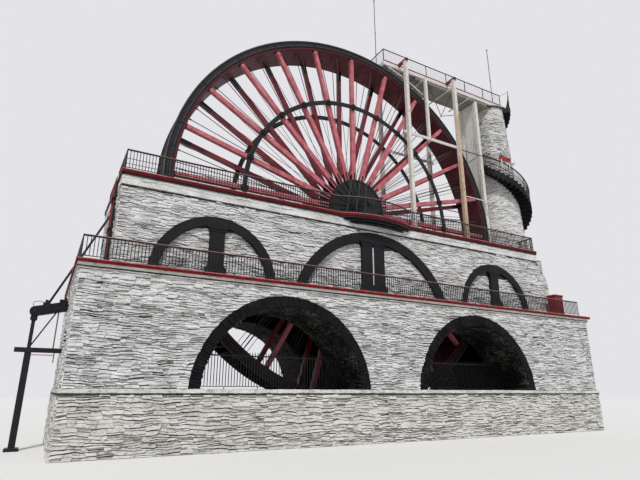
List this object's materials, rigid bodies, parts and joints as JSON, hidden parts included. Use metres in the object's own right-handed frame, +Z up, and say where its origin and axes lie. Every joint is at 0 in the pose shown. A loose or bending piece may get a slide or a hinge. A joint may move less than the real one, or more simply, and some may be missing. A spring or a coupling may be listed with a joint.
{
  "type": "water wheel",
  "caption": "Overshot water wheel turning in a two-tier whitewashed stone housing with arches, railed walkways, a round feed tower with a spiral stair and a viewing platform.",
  "frame": {"origin": "on the ground under the middle of the axle, in the wheel's middle plane", "axes": "+X along the front to the right, +Y to the back along the axle, +Z up"},
  "size_m": [31.7412, 8.63, 29.5],
  "materials": {
    "whitewashed_rubble": "matte",
    "black_stone": "matte",
    "limewashed_slab": "matte",
    "red_paint": "satin",
    "black_iron": "satin",
    "black_casting": "satin",
    "grey_iron": "satin",
    "grey_boards": "matte",
    "white_timber": "matte",
    "white_boards": "matte",
    "red_timber": "satin",
    "black_timber": "matte",
    "dark_shroud": "matte",
    "maroon_boards": "matte",
    "bucket_boards": "matte",
    "pink_spokes": "satin",
    "red_spokes": "satin"
  },
  "bodies": {
    "housing": {"foundation": "whitewashed_rubble", "lower_wall_front": "whitewashed_rubble", "lower_wall_rear": "whitewashed_rubble", "lower_end_walls": "whitewashed_rubble", "lower_arch_rings": "black_stone", "lower_walkway": "limewashed_slab", "lower_nosing": "red_paint", "upper_wall_front": "whitewashed_rubble", "upper_wall_rear": "whitewashed_rubble", "upper_end_walls": "whitewashed_rubble", "blind_arch_rings": "black_stone", "pillars": "black_stone", "upper_walkway": "limewashed_slab", "upper_nosing": "red_paint", "lower_railing_front": "black_iron", "lower_railing_rear": "black_iron", "upper_railing_front": "black_iron", "upper_railing_rear": "black_iron", "end_railings": "black_iron", "arch_railing": "black_iron", "bearings": "black_casting", "platform_deck": "grey_boards", "platform_frame": "white_timber", "platform_timbers": "red_timber", "platform_posts": "white_timber", "platform_braces": "white_timber", "platform_railing": "grey_iron", "launder": "grey_boards", "splash_screen": "white_boards", "tower": "whitewashed_rubble", "tower_stair": "black_iron", "stair_railing": "black_iron", "masts": "grey_iron", "end_beam": "black_timber", "end_frame": "black_iron"},
    "wheel": {"rim_front": "dark_shroud", "rim_rear": "dark_shroud", "sole": "maroon_boards", "buckets": "bucket_boards", "spokes_front": "pink_spokes", "spokes_rear": "red_spokes", "inner_rings": "black_iron", "hubs": "black_casting", "tie_rods": "grey_iron", "axle": "grey_iron"}
  },
  "joints": [
    {"name": "wheel_turn", "type": "hinge", "parent": "housing", "child": "wheel", "pos_m": [0, 0, 12.4], "axis": [0, 1, 0], "continuous": true}
  ]
}
